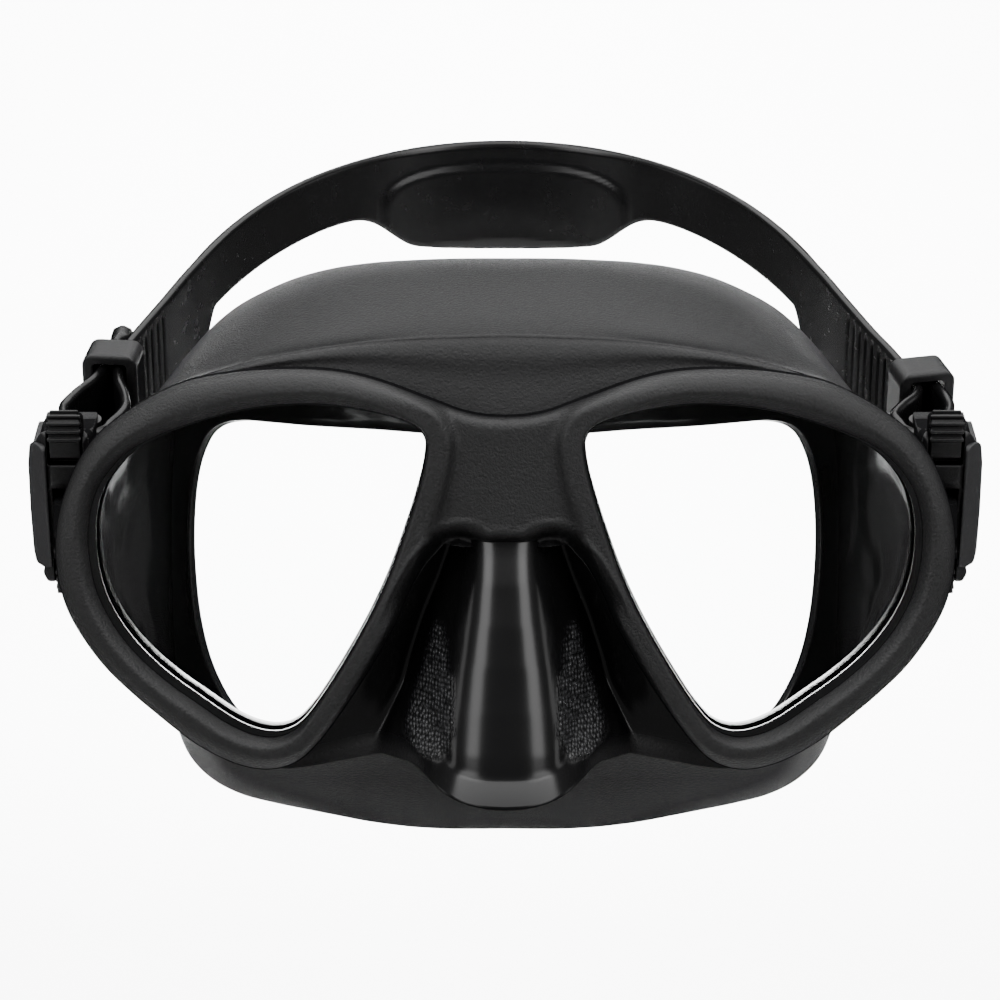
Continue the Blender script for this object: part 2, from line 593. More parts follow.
# stations: start under the frame (x, z), crease (x, z, y), rear edge (x, z), lip inner edge (x, z)
ST = [
    ((0, 19.8), (0, 35.6, -32.6), (0, 48.4), (0, 14.8)),
    ((3.8, 20.0), (5.0, 35.5, -32.5), (5.2, 48.4), (5.0, 14.9)),
    ((8.2, 21.0), (10.5, 35.3, -32.4), (11.0, 48.3), (10.5, 15.1)),
    ((14.0, 23.2), (18.0, 35.0, -32.0), (17.5, 48.0), (17.0, 15.5)),
    ((21.8, 26.0), (26.5, 34.3, -31.5), (24.5, 47.5), (24.0, 15.9)),
    ((30.0, 27.9), (35.0, 33.1, -30.8), (32.0, 46.4), (31.0, 16.1)),
    ((38.5, 28.3), (43.0, 31.6, -29.9), (39.5, 44.4), (38.0, 16.3)),
    ((47.0, 27.8), (50.5, 29.6, -29.0), (46.0, 41.6), (44.5, 16.6)),
    ((55.0, 26.2), (57.2, 27.2, -28.2), (51.8, 38.3), (49.6, 16.7)),
    ((62.0, 23.6), (62.4, 24.0, -27.4), (57.0, 33.8), (53.4, 15.9)),
    ((68.2, 19.8), (67.6, 19.6, -26.6), (61.0, 28.9), (56.0, 14.0)),
    ((73.0, 14.8), (72.0, 14.3, -26.0), (63.8, 22.5), (57.8, 10.6)),
    ((76.4, 8.4), (75.2, 8.0, -25.6), (65.2, 14.2), (59.0, 6.6)),
    ((78.4, 0.5), (76.8, 0.5, -25.3), (65.9, 4.0), (59.8, 1.0)),
    ((78.6, -7.0), (77.0, -6.8, -25.1), (66.0, -8.0), (60.1, -6.5)),
    ((77.0, -13.6), (75.6, -13.2, -25.0), (65.9, -19.5), (59.7, -14.5)),
    ((73.6, -19.6), (72.6, -19.2, -25.0), (65.5, -29.5), (58.8, -21.5)),
    ((69.0, -25.0), (68.2, -24.8, -25.1), (64.8, -37.5), (57.2, -28.0)),
    ((63.6, -29.8), (63.0, -29.8, -25.4), (63.4, -43.8), (55.0, -33.2)),
    ((58.0, -34.2), (57.6, -34.6, -26.0), (60.8, -48.8), (52.0, -37.8)),
    ((52.4, -38.0), (52.2, -38.8, -26.6), (56.4, -52.4), (48.2, -41.3)),
    ((46.6, -40.3), (46.4, -41.8, -27.2), (50.6, -54.6), (43.4, -44.0)),
    ((41.0, -40.4), (41.2, -43.2, -27.8), (44.0, -55.6), (38.0, -46.1)),
    ((36.0, -38.0), (36.2, -42.8, -28.3), (37.6, -56.3), (32.2, -47.7)),
    ((31.6, -33.0), (31.4, -41.8, -28.8), (31.6, -57.0), (26.8, -48.8)),
    ((27.6, -27.2), (27.0, -40.9, -29.2), (26.0, -57.7), (21.8, -49.7)),
    ((23.9, -21.0), (23.2, -40.2, -29.6), (21.4, -58.1), (17.6, -50.0)),
    ((20.6, -14.9), (19.4, -40.1, -30.0), (17.6, -58.35), (14.2, -50.3)),
    ((17.8, -9.2), (16.4, -40.3, -30.4), (14.4, -58.45), (11.4, -50.4)),
    ((15.6, -5.0), (14.0, -41.7, -30.6), (11.8, -58.5), (9.2, -50.5)),
    ((12.6, -1.6), (11.0, -43.6, -30.8), (9.2, -58.5), (7.2, -50.5)),
    ((8.6, 1.4), (7.6, -45.0, -31.0), (6.4, -58.45), (5.0, -50.6)),
    ((4.4, 0.6), (3.9, -45.7, -31.1), (3.3, -58.4), (2.6, -50.6)),
    ((0, 0.4), (0, -45.9, -31.2), (0, -58.35), (0, -50.6)),
]
ctrl = np.array([[a[0], a[1], b[0], b[1], b[2], c[0], c[1], d[0], d[1]] for a, b, c, d in ST], float)
dense = spline(ctrl.tolist(), False, 24)
wts = np.concatenate([[0], np.cumsum(np.linalg.norm(np.diff(dense[:, [0, 1, 2, 3, 5, 6]], axis=0), axis=1))])
N_SK = 300
U = np.linspace(0, wts[-1], N_SK)
COL = np.stack([np.interp(U, wts, dense[:, k]) for k in range(dense.shape[1])], 1)
for k in (0, 2, 5, 7):
    COL[0, k] = 0.0
    COL[-1, k] = 0.0

# height map of the nose pocket and its flanks: y over (x, z)
GX = np.arange(-2.0, 46.01, 0.2)
GZ = np.arange(-52.0, 4.01, 0.2)
XX, ZZ = np.meshgrid(GX, GZ, indexing='ij')
AX = np.abs(XX)
zl = np.array([4.0, -1.5, -8, -15, -22, -30, -37, -41, -43, -45, -47, -52])
c_w = np.interp(-ZZ, -zl, [5.3, 5.5, 5.9, 6.6, 7.5, 8.3, 8.8, 8.9, 8.9, 8.9, 8.9, 8.9])
f_w = np.interp(-ZZ, [-4, 1.5, 5, 8, 15, 22, 28, 33, 37, 41, 52], [6.0, 6.5, 7.2, 7.9, 9.0, 9.7, 9.8, 9.7, 9.6, 9.5, 9.5])
v_w = np.interp(-ZZ, -zl, [9.2, 9.8, 12.0, 14.6, 16.8, 18.8, 20.2, 21.0, 21.4, 21.8, 22, 22])
r_w = np.interp(-ZZ, -zl, [11.0, 11.6, 14.2, 17.0, 19.6, 22.6, 25.0, 26.0, 26.5, 27, 27.4, 28])
y0 = np.interp(-ZZ, [-4, 1.5, 3, 5, 8, 15, 22, 30, 37, 41, 52], [-37.2, -39.3, -40.0, -41.0, -42.5, -45.6, -48.1, -50.0, -51.0, -51.2, -51.4])
dc = np.interp(-ZZ, -zl, [1.6, 1.7, 1.85, 2.0, 2.15, 2.3, 2.4, 2.4, 2.4, 2.4, 2.4, 2.4])
df = np.interp(-ZZ, [-4, 1.5, 8, 15, 22, 28, 33, 37, 41, 52], [1.0, 1.2, 2.2, 2.9, 2.9, 2.2, 1.4, 0.9, 0.7, 0.7])
bk = shear_y(XX, BACK, ZZ)
val = np.interp(-ZZ, -zl, [1.5, 2.0, 3.2, 4.2, 4.8, 5.0, 4.0, 2.2, 1.4, 1.0, 1.0, 1.0])
rid = np.interp(-ZZ, -zl, [0.8, 1.0, 1.6, 2.2, 2.7, 2.8, 2.0, 1.0, 0.6, 0.4, 0.4, 0.4])
leg = np.interp(-ZZ, [-4.0, 2.0, 5.0, 8.2, 11.5, 15, 21, 27, 32.4, 37, 41, 52],
                [12.0, 12.2, 14.6, 16.6, 18.3, 19.7, 22.9, 26.6, 30.2, 33.6, 37.0, 44.0])
yb = bk + val
Ymap = np.zeros_like(XX)
for ix in range(XX.shape[0]):
    ax = AX[ix]
    c, f, v, r, lg = c_w[ix], f_w[ix], v_w[ix], r_w[ix], leg[ix]
    lg = np.maximum(lg, r + 1.0)
    ya = y0[ix] + dc[ix] * np.clip(ax / c, 0, 1) ** 2.6
    yf = y0[ix] + dc[ix] + df[ix] * np.clip((ax - c) / (f - c), 0, 1)
    yf_end = y0[ix] + dc[ix] + df[ix]
    t = np.clip((ax - f) / (v - f), 0, 1)
    flank = yf_end + (yb[ix] - yf_end) * (0.80 * t + 0.20 * (1 - (1 - t) ** 2.2))
    yr = bk[ix] + rid[ix]
    t2 = np.clip((ax - v) / (r - v), 0, 1)
    up = yb[ix] + (yr - yb[ix]) * (t2 * t2 * (3 - 2 * t2))
    t3 = np.clip((ax - r) / (lg - r), 0, 1)
    seat = yr + (bk[ix] + 0.1 - yr) * t3
    Ymap[ix] = np.where(ax < c, ya, np.where(ax < f, yf, np.where(ax < v, flank, np.where(ax < r, up, seat))))


def blur(Z, sx, sz):
    def ker(s):
        n = int(math.ceil(3 * s))
        x = np.arange(-n, n + 1)
        k = np.exp(-0.5 * (x / s) ** 2)
        return k / k.sum()
    out = Z.copy()
    if sx > 0:
        k = ker(sx / 0.2)
        pad_ = len(k) // 2
        P_ = np.pad(out, ((pad_, pad_), (0, 0)), mode='edge')
        out = sum(k[j] * P_[j:j + Z.shape[0]] for j in range(len(k)))
    if sz > 0:
        k = ker(sz / 0.2)
        pad_ = len(k) // 2
        P_ = np.pad(out, ((0, 0), (pad_, pad_)), mode='edge')
        out = sum(k[j] * P_[:, j:j + Z.shape[1]] for j in range(len(k)))
    return out


# rounded tip: a ledge that comes forward below the ridge of the nose pocket
ledge = -51.2 + (0.78 + 0.17 * sstep(8.0, 12.0, AX)) * (ZZ + 41.0) + np.interp(
    AX, [0, 2, 4, 6, 7, 8, 9, 10, 11, 12, 13, 15, 18, 46], [0, 0.06, 0.28, 0.68, 0.92, 1.18, 1.58, 2.2, 3.05, 4.05, 5.2, 7.9, 12.6, 60])
pad_mask = np.zeros_like(XX)
crisp = blur(np.minimum(Ymap, ledge), 0.22, 0.3)
soft = blur(np.minimum(Ymap, ledge), 0.9, 1.2)
wsoft = sstep(2.0, 6.0, AX - f_w) * sstep(-47.0, -40.0, ZZ)
Ymap = crisp * (1 - wsoft) + soft * wsoft

PAD = spline([(12.3, -15.3), (11.3, -17.2), (10.4, -22.2), (9.7, -27.5), (9.7, -33.3), (10.4, -36.6), (12.0, -38.0),
              (14.1, -38.5), (16.3, -37.7), (17.6, -35.9), (17.9, -33.7), (16.8, -29.3), (15.3, -24.4), (14.0, -20.0),
              (13.2, -16.4)], True, 8)


def inside(P, X):
    x, y = X[:, 0], X[:, 1]
    r = np.zeros(len(X), bool)
    n = len(P)
    for i in range(n):
        x1, y1 = P[i]
        x2, y2 = P[(i + 1) % n]
        c = ((y1 > y) != (y2 > y)) & (x < (x2 - x1) * (y - y1) / (y2 - y1 + 1e-12) + x1)
        r ^= c
    return r


def bil(Z, x, z):
    fx = np.clip((x - GX[0]) / 0.2, 0, len(GX) - 1.001)
    fz = np.clip((z - GZ[0]) / 0.2, 0, len(GZ) - 1.001)
    i, j = fx.astype(int), fz.astype(int)
    a, b = fx - i, fz - j
    return (Z[i, j] * (1 - a) * (1 - b) + Z[i + 1, j] * a * (1 - b) + Z[i, j + 1] * (1 - a) * b + Z[i + 1, j + 1] * a * b)


n1, n2, n3 = 88, 44, 22
Vs, gl_a, pad_a = [], [], []
# u index at which the nose columns begin (start point past the lowest point of the lens rim)
for i in range(N_SK):
    sx_, sz_, ex, ez, ey, rx, rz, lx, lz = COL[i]
    low = sz_ < 5.0
    # 0 for brow and side columns, 1 for the nose columns
    nose = float(sstep(44.0, 37.0, sx_)) if (ez < -30) else 0.0
    t = np.linspace(0, 1, n1)
    x = sx_ + (ex - sx_) * t
    z = sz_ + (ez - sz_) * t
    ys = shear_y(sx_, BACK, sz_)
    lin = ys + (ey - ys) * t ** 1.4
    brow = float(sstep(18.0, 30.0, ez))
    # the strip swells forward just below the crease and rolls into it
    lin = lin - brow * (0.6 * np.exp(-((t - 0.80) / 0.18) ** 2) - 0.3 * np.exp(-((t - 1.0) / 0.05) ** 2))
    hm = bil(Ymap, x, z)
    y = lin * (1 - nose) + hm * nose
    g = np.full(n1, nose)
    # the flanks near the lower panel lose their polish softly
    if nose > 0:
        edge_d = (z - ez)
        matt_edge = 1 - sstep(0.6, 4.5, edge_d)
        outer = sstep(13.5, 17.0, x)
        g = nose * (1 - matt_edge * outer)
    X1 = np.stack([x, y, z], 1)
    # crease to rear edge
    yr = float(face_y(rx, rz)) - 1.2
    s = np.linspace(0, 1, n2 + 1)[1:]
    s = s ** 1.35
    x2 = ex + (rx - ex) * s
    z2 = ez + (rz - ez) * s
    y2 = ey + (yr - ey) * s
    top = float(sstep(15.0, 30.0, ez))
    side = float(sstep(12.0, 30.0, ex)) * top
    # brow: groove at the crease, a shallow valley behind it at the sides, then a full crown
    lift = 0.30 * (s * s * (3 - 2 * s) - s) + 0.16 * np.sin(np.pi * s) * s
    z2 = z2 + (rz - ez) * lift * top
    z2 = z2 - 0.7 * side * np.exp(-((s - 0.16) / 0.11) ** 2)
    g_ = np.exp(-((s - 0.012) / 0.014) ** 2)
    z2 = z2 - 0.75 * top * g_
    y2 = y2 + 0.8 * top * g_
    # lower panel: carries on down for a little, then sweeps back
    bot = float(sstep(-36.0, -41.0, ez))
    y2 = y2 - bot * 3.0 * np.sin(np.pi * s) ** 0.9
    z2 = z2 - bot * 0.4 * np.sin(np.pi * s)
    g2 = np.zeros(n2)
    if nose > 0 and ex < 15.0:
        # under the crisp lower edge of the nose pocket
        y_edge = float(bil(Ymap, np.array([ex]), np.array([ez]))[0])
        jump = ey - y_edge
        k = np.clip(s / 0.12, 0, 1)
        fall = (1 - k) ** 2
        y2 = y2 - jump * fall * 1.0
        z2 = z2 - 0.6 * np.sin(np.pi * np.clip(k, 0, 1)) * min(1.0, jump / 8.0)
        g2 = (1 - k) * 0.9
    X2 = np.stack([x2, y2, z2], 1)
    # fold and sealing lip
    R3 = X2[-1]
    d_in = np.array([lx - rx, 0.0, lz - rz])
    n_in = np.linalg.norm(d_in)
    q = np.linspace(0, 1, n3 + 1)[1:]
    w = q ** 1.25
    x3 = rx + (lx - rx) * w
    z3 = rz + (lz - rz) * w
    fold = 2.2 * (1 - np.exp(-w * n_in / 1.6))
    y3 = face_y(x3, z3) - 1.2 * (1 - w) + fold * (1 - w) ** 0.6 * 0.9 - 0.9 * np.sin(np.pi * w) * top
    X3 = np.stack([x3, y3, z3], 1)
    C = np.vstack([X1, X2, X3])
    Vs.append(C)
    gl_a.append(np.concatenate([g, g2, np.full(n3, 0.55)]))
    pad_a.append(np.concatenate([inside(PAD, np.stack([x, z], 1)).astype(float) * nose, np.zeros(n2 + n3)]))
VSK = np.array(Vs)
nvS = VSK.shape[1]
VSK[0, :, 0] = 0.0
VSK[-1, :, 0] = 0.0
gl_a = np.array(gl_a)
pad_a = np.array(pad_a)
# soften the pad mask's border and lift the pads a little off the flank
pm = pad_a.copy()
for _ in range(2):
    q = pm.copy()
    q[1:-1, 1:-1] = (pm[1:-1, 1:-1] * 4 + pm[:-2, 1:-1] + pm[2:, 1:-1] + pm[1:-1, :-2] + pm[1:-1, 2:]) / 8
    pm = q
px_ = VSK[:, :, 0]
lean = np.clip((px_ - 9.0) / 8.0, 0, 1)
VSK[:, :, 1] -= pm * (0.35 + 1.9 * lean)
ob_skirt = make("skirt_shell", VSK.reshape(-1, 3), grid_faces(N_SK, nvS), "mask", [M_SKIRT], mirror=True,
                attrs={"gloss": gl_a.reshape(-1), "pad": pm.reshape(-1)})


def apply_mods(ob):
    dg = bpy.context.evaluated_depsgraph_get()
    ev = ob.evaluated_get(dg)
    me = bpy.data.meshes.new_from_object(ev, preserve_all_data_layers=True, depsgraph=dg)
    old = ob.data
    ob.modifiers.clear()
    ob.data = me
    bpy.data.meshes.remove(old)


def orient_out(ob, centre):
    """Make the face normals of an open shell point away from centre on the whole."""
    me = ob.data
    c = Vector(centre)
    tot = 0.0
    for p in me.polygons:
        tot += p.area * (p.center - c).dot(p.normal)
    if tot < 0:
        me.flip_normals()


orient_out(ob_skirt, (0, -0.010, 0.0))
sol = ob_skirt.modifiers.new("wall", 'SOLIDIFY')
sol.thickness = 0.0016
sol.offset = -1.0
sol.use_even_offset = False
sol.use_quality_normals = True
bpy.context.view_layer.update()
apply_mods(ob_skirt)
for p in ob_skirt.data.polygons:
    p.use_smooth = True
n_half = len(ob_skirt.data.vertices) // 2
for key, val_in in (("gloss", 0.93), ("pad", 0.0), ("inner", 1.0)):
    if key not in ob_skirt.data.attributes:
        ob_skirt.data.attributes.new(key, 'FLOAT', 'POINT')
    at_ = ob_skirt.data.attributes[key]
    buf = np.zeros(len(ob_skirt.data.vertices), np.float32)
    at_.data.foreach_get("value", buf)
    buf[n_half:] = val_in
    at_.data.foreach_set("value", buf)
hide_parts("skirt")

# flange behind the frame, with the lens windows
WIN = offset_loop(VIS, -0.15)
S_OPEN = COL[:, :2].copy()
S_OPEN = offset_loop(S_OPEN, 0.0, False)
S_LOOP = np.vstack([S_OPEN, np.stack([np.zeros(19), np.linspace(S_OPEN[-1, 1], S_OPEN[0, 1], 21)[1:-1]], 1)])
pairs2 = [(p[0], at(S_LOOP, [nearest_s(S_LOOP, p[1], True)], True)[0]) for p in PAIRS]
WI, WO, _ = match(WIN, S_LOOP, 260, pairs2)
WO[np.abs(WO[:, 0]) < 0.02, 0] = 0.0
fl = []
for yy, fs in ((BACK + 0.02, (0.0, 0.03, 0.25, 0.5, 0.75, 1.0)), (BACK + 2.0, (1.0, 0.75, 0.5, 0.25, 0.03, 0.0))):
    for f in fs:
        Pp = WI + (WO - WI) * f
        fl.append(np.stack([Pp[:, 0], shear_y(Pp[:, 0], yy, Pp[:, 1]), Pp[:, 1]], 1)[:, None, :])
Pp = WI
fl.insert(0, np.stack([Pp[:, 0], shear_y(Pp[:, 0], 4.05, Pp[:, 1]), Pp[:, 1]], 1)[:, None, :])
VFL = np.concatenate(fl, 1)
ob_fl = make("skirt_flange", VFL.reshape(-1, 3), grid_faces(260, VFL.shape[1], True, True), "mask", [M_SKIRT],
             mirror=True, drop_x0=True, attrs={"gloss": np.full(260 * VFL.shape[1], 0.9), "pad": np.zeros(260 * VFL.shape[1])})
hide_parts("skirt")

# ---------------------------------------------------------------------------
# strap
# ---------------------------------------------------------------------------
TILT = math.radians(22.0)
SW_Y, SW_Z = -8.0, 4.1
ROLLER_X, ROLLER_A = 78.4, 11.5
STRAP_REAR = [(0, 148.5), (7.6, 147.9), (16.4, 145.7), (25.1, 141.7), (33.6, 135.8), (42.0, 127.6), (50.0, 116.2),
              (57.5, 100.9), (64.3, 80.7), (68.4, 66.0)]
STRAP_IN_R = [(72.4, 52.0), (75.0, 44.0), (76.9, 37.5), (78.1, 33.0), (78.9, 29.5), (79.0, 26.6), (77.9, 23.2),
              (75.4, 19.4), (73.6, 15.5)]
STRAP_OUT_R = [(83.4, 15.0), (84.3, 19.5), (83.8, 24.0), (82.4, 28.6), (80.7, 33.0), (79.2, 37.6)]
STRAP_IN_L = [(72.4, 52.0), (74.0, 46.0), (74.8, 41.0), (75.0, 36.0), (74.2, 30.0), (72.6, 24.0), (72.1, 19.0), (73.0, 15.0)]
STRAP_OUT_L = [(83.2, 15.0), (83.6, 19.5), (81.9, 25.0), (79.4, 30.5), (77.75, 36.0), (76.9, 41.0), (76.6, 45.0), (76.4, 49.5), (76.2, 55.6)]


def to_row(x, a, b):
    """Swivel coordinates to the row frame."""
    return np.stack([x, SW_Y + a * math.cos(TILT) - b * math.sin(TILT), SW_Z + a * math.sin(TILT) + b * math.cos(TILT)], -1)


def loop_pts(sign):
    r = 2.6 + 0.35 + 1.0
    return [(sign * (ROLLER_X + r * math.cos(math.radians(180 + 30 * k))), ROLLER_A + r * math.sin(math.radians(180 + 30 * k))) for k in range(7)]


right = STRAP_IN_R + loop_pts(1) + STRAP_OUT_R
left = [(-p[0], p[1]) for p in STRAP_IN_L] + loop_pts(-1) + [(-p[0], p[1]) for p in STRAP_OUT_L]
line = list(reversed(left)) + [(-p[0], p[1]) for p in reversed(STRAP_REAR)] + STRAP_REAR[1:] + right
SL = spline(line, False, 24)
Ls = cum(SL)[-1]
# stations close together near the toothed ends, wider round the back
near = 118.0
ss = np.concatenate([np.arange(0, near, 0.22), np.arange(near, Ls - near, 0.8), np.arange(Ls - near, Ls, 0.22), [Ls]])
NS_ = len(ss)
C2 = at(SL, ss)
T2 = np.gradient(C2, axis=0)
T2 /= np.linalg.norm(T2, axis=1)[:, None]
N2 = np.stack([-T2[:, 1], T2[:, 0]], 1)
# side of the band that faces the head on the main run
mid = NS_ // 2
s_mid = ss[mid]
N_in = N2 * (1.0 if N2[mid, 1] < 0 else -1.0)
i_in_r = int(np.argmin(np.hypot(C2[:, 0] - 73.4, C2[:, 1] - 15.5)))
i_in_l = int(np.argmin(np.hypot(C2[:, 0] + 73.0, C2[:, 1] - 15.0)))
a_run = C2[:, 1]
ax_ = np.abs(C2[:, 0])
main = (np.arange(NS_) >= i_in_l) & (np.arange(NS_) <= i_in_r)
end_w = np.where(main, 1 - sstep(83.0, 91.5, a_run), 1.0)
pad_w = np.where(main & (a_run > 110), np.interp(ax_, [0, 6, 14, 18.5, 20.5, 22, 23.5, 25.5, 27.5, 29.5, 32, 35, 38],
                                                [1.0, 0.99, 0.92, 0.835, 0.775, 0.70, 0.60, 0.44, 0.27, 0.14, 0.045, 0.01, 0.0]), 0.0)
kern = np.exp(-0.5 * (np.arange(-4, 5) / 1.6) ** 2)
pad_w = np.convolve(np.pad(pad_w, 4, mode='edge'), kern / kern.sum(), mode='valid')
top_b = np.full(NS_, 10.5)
bot_b = -3.0 - 7.5 * end_w - 12.5 * pad_w
# round the corners of both tails
for e, sgn in ((0, 1), (NS_ - 1, -1)):
    d = np.abs(ss - ss[e])
    k = np.clip(1 - d / 3.2, 0, 1)
    cut = 3.2 * (1 - np.sqrt(np.clip(1 - k * k, 0, 1)))
    top_b = top_b - cut
    bot_b = bot_b + cut
# tooth grooves in the face that turns towards the head, near each end and on round the roller
rib = np.zeros(NS_)
pitch = 3.2
for i in range(NS_):
    for sv in (ss[i_in_r] - ss[i], ss[i] - ss[i_in_l]):
        if -70 < sv < 50.5:
            ph = (sv % pitch) / pitch
            rib[i] = max(rib[i], float(sstep(0.0, 0.14, ph) * (1 - sstep(0.34, 0.48, ph))))
    if min(ss[i], ss[-1] - ss[i]) < 4.0:
        rib[i] = 0.0
nb = 30
tb = np.linspace(0, 1, nb)
VST, cush_a = [], []
for i in range(NS_):
    # both tails end in a thicker, rounded pull tab
    de = min(ss[i], ss[-1] - ss[i])
    tab = float(1 - sstep(5.0, 8.5, de))
    half = 1.0 + 1.0 * tab * math.sqrt(max(0.05, 1 - (1 - min(1.0, de / 2.2)) ** 2))
    b0, b1 = bot_b[i], top_b[i]
    h = b1 - b0
    rr = min(0.75 + 0.9 * tab, h * 0.45)
    prof = []
    # inner face from bottom to top, with rounded edges
    for t in tb:
        b = b0 + h * t
        e = min(b - b0, b1 - b)
        inset = 0.0 if e >= rr else half * 0.85 * (1 - math.sqrt(max(0.0, 1 - ((rr - e) / rr) ** 2)))
        d = half - inset
        mk = 1.0
        if b < b0 + 1.6 or b > b1 - 2.0:
            mk = 0.0
        d -= 0.95 * rib[i] * float(sstep(b0 + 1.2, b0 + 2.2, b)) * (1 - float(sstep(b1 - 2.6, b1 - 1.6, b)))
        # raised rear cushion
        if pad_w[i] > 0.12:
            qx = (ax_[i]) / 28.6
            qb = (b + 4.4) / 9.9
            rr_ = (abs(qx) ** 4.2 + abs(qb) ** 3.6) ** (1 / 4)
            d += 0.7 * float(1 - sstep(0.90, 1.0, rr_)) + 0.25 * float(1 - sstep(0.0, 0.95, rr_))
        prof.append((d, b))
    for t in tb[::-1]:
        b = b0 + h * t
        e = min(b - b0, b1 - b)
        inset = 0.0 if e >= rr else half * 0.85 * (1 - math.sqrt(max(0.0, 1 - ((rr - e) / rr) ** 2)))
        prof.append((-(half - inset), b))
    prof = np.array(prof)
    xy = C2[i] + N_in[i] * (prof[:, :1] - 0.55 * tab)
    VST.append(to_row(xy[:, 0], xy[:, 1], prof[:, 1]))
VST = np.array(VST)
nvT = VST.shape[1]
FS = grid_faces(NS_, nvT, False, True)
FS.append(tuple(range(nvT)))
FS.append(tuple(reversed(range((NS_ - 1) * nvT, NS_ * nvT))))
ob_strap = make("strap_band", VST.reshape(-1, 3), FS, "strap_and_buckles", [M_STRAP])
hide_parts("strap")


def dress(node, mat, bevel=0.0, seg=2, angle=32.0):
    o = nodes[node]
    o.data.materials.clear()
    o.data.materials.append(mat)
    for p in o.data.polygons:
        p.material_index = 0
        p.use_smooth = bevel > 0
    if bevel > 0:
        w = o.modifiers.new("weld", 'WELD')
        w.merge_threshold = 0.000004
        d = o.modifiers.new("planes", 'DECIMATE')
        d.decimate_type = 'DISSOLVE'
        d.angle_limit = math.radians(2.0)
        b = o.modifiers.new("edges", 'BEVEL')
        b.width = bevel * MM
        b.segments = seg
        b.limit_method = 'ANGLE'
        b.angle_limit = math.radians(angle)
        b.harden_normals = False
        b.use_clamp_overlap = True
        n = o.modifiers.new("normals", 'WEIGHTED_NORMAL')
        n.keep_sharp = True


for s in ("left", "right"):
    dress("lens_" + s, M_GLASS)
    dress("lens_retainer_" + s, M_RETAINER)
    dress("swivel_bracket_" + s, M_BUCKLE, 0.35)
    dress("swivel_pin_" + s, M_STEEL)
    dress("roller_" + s, M_ROLLER)

# ---------------------------------------------------------------------------
# buckles, buttons and keepers, drawn in swivel coordinates (x outward, a back, b up)
# ---------------------------------------------------------------------------
def tmp_obj(V, F):
    me = bpy.data.meshes.new("t")
    me.from_pydata([tuple(v) for v in (np.asarray(V, float) * MM)], [], F)
    ob = bpy.data.objects.new("t", me)
    bpy.context.scene.collection.objects.link(ob)
    bm = bmesh.new()
    bm.from_mesh(me)
    bmesh.ops.recalc_face_normals(bm, faces=bm.faces)
    bm.to_mesh(me)
    bm.free()
    return ob


def prism(poly, axis, t0, t1):
    """Closed prism. axis 'a': poly is (x, b); axis 'x': poly is (a, b); axis 'b': poly is (x, a)."""
    n = len(poly)
    V = []
    for t in (t0, t1):
        for p, q in poly:
            V.append({"a": (p, t, q), "x": (t, p, q), "b": (p, q, t)}[axis])
    F = [tuple(range(n)), tuple(reversed(range(n, 2 * n)))]
    F += [(i, (i + 1) % n, n + (i + 1) % n, n + i) for i in range(n)]
    return tmp_obj(V, F)


def rnd(poly, radii, seg=6):
    """Polygon with its corners rounded to the given radii."""
    P = [np.array(p, float) for p in poly]
    out = []
    n = len(P)
    for i in range(n):
        r = radii if isinstance(radii, (int, float)) else radii[i]
        a_, b_, c_ = P[i - 1], P[i], P[(i + 1) % n]
        u, v = a_ - b_, c_ - b_
        lu, lv = np.linalg.norm(u), np.linalg.norm(v)
        u, v = u / lu, v / lv
        ang = math.acos(max(-1, min(1, float(u @ v))))
        if r <= 0 or ang > math.radians(176):
            out.append(tuple(b_))
            continue
        d = min(r / math.tan(ang / 2), lu * 0.49, lv * 0.49)
        r_ = d * math.tan(ang / 2)
        p0, p1 = b_ + u * d, b_ + v * d
        m = (u + v) / np.linalg.norm(u + v)
        c = b_ + m * (r_ / math.sin(ang / 2))
        a0 = math.atan2(*(p0 - c)[::-1])
        a1 = math.atan2(*(p1 - c)[::-1])
        da = (a1 - a0 + math.pi) % (2 * math.pi) - math.pi
        for k in range(seg + 1):
            t = a0 + da * k / seg
            out.append((c[0] + r_ * math.cos(t), c[1] + r_ * math.sin(t)))
    return out


def boolean(ob, other, op):
    m = ob.modifiers.new("b", 'BOOLEAN')
    m.operation = op
    m.object = other
    m.solver = 'EXACT'
    bpy.context.view_layer.update()
    apply_mods(ob)
    od = other.data
    bpy.data.objects.remove(other)
    bpy.data.meshes.remove(od)
    return ob


def rod(axis, c1, c2, r, t0, t1, n=28):
    poly = [(c1 + r * math.cos(2 * math.pi * k / n), c2 + r * math.sin(2 * math.pi * k / n)) for k in range(n)]
    return prism(poly, axis, t0, t1)


def soften(ob, voxel, passes, factor=0.5):
    """Even out the joins and round every edge as a mould would."""
    r = ob.modifiers.new("r", 'REMESH')
    r.mode = 'VOXEL'
    r.voxel_size = voxel * MM
    r.adaptivity = 0.0
    m = ob.modifiers.new("s", 'SMOOTH')
    m.factor = factor
    m.iterations = passes
    bpy.context.view_layer.update()
    apply_mods(ob)
    for p in ob.data.polygons:
        p.use_smooth = True
    return ob


def settle(ob, name, body, mat, node, flip=1.0, thin=0.0):
    """Move from swivel coordinates into the mask, on the +X side or mirrored."""
    me = ob.data
    n = len(me.vertices)
    co = np.zeros(n * 3, np.float64)
    me.vertices.foreach_get("co", co)
    co = co.reshape(-1, 3) / MM
    W = to_row(co[:, 0] * flip, co[:, 1], co[:, 2]) * MM
    me.vertices.foreach_set("co", W.reshape(-1))
    if flip < 0:
        me.flip_normals()
    me.update()
    ob.name = name
    me.name = name
    if thin > 0:
        d = ob.modifiers.new("d", 'DECIMATE')
        d.ratio = thin
        bpy.context.view_layer.update()
        apply_mods(ob)
        for p in ob.data.polygons:
            p.use_smooth = True
    ob.data.materials.clear()
    ob.data.materials.append(mat)
    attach(ob, body)
    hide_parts(node)
    return ob


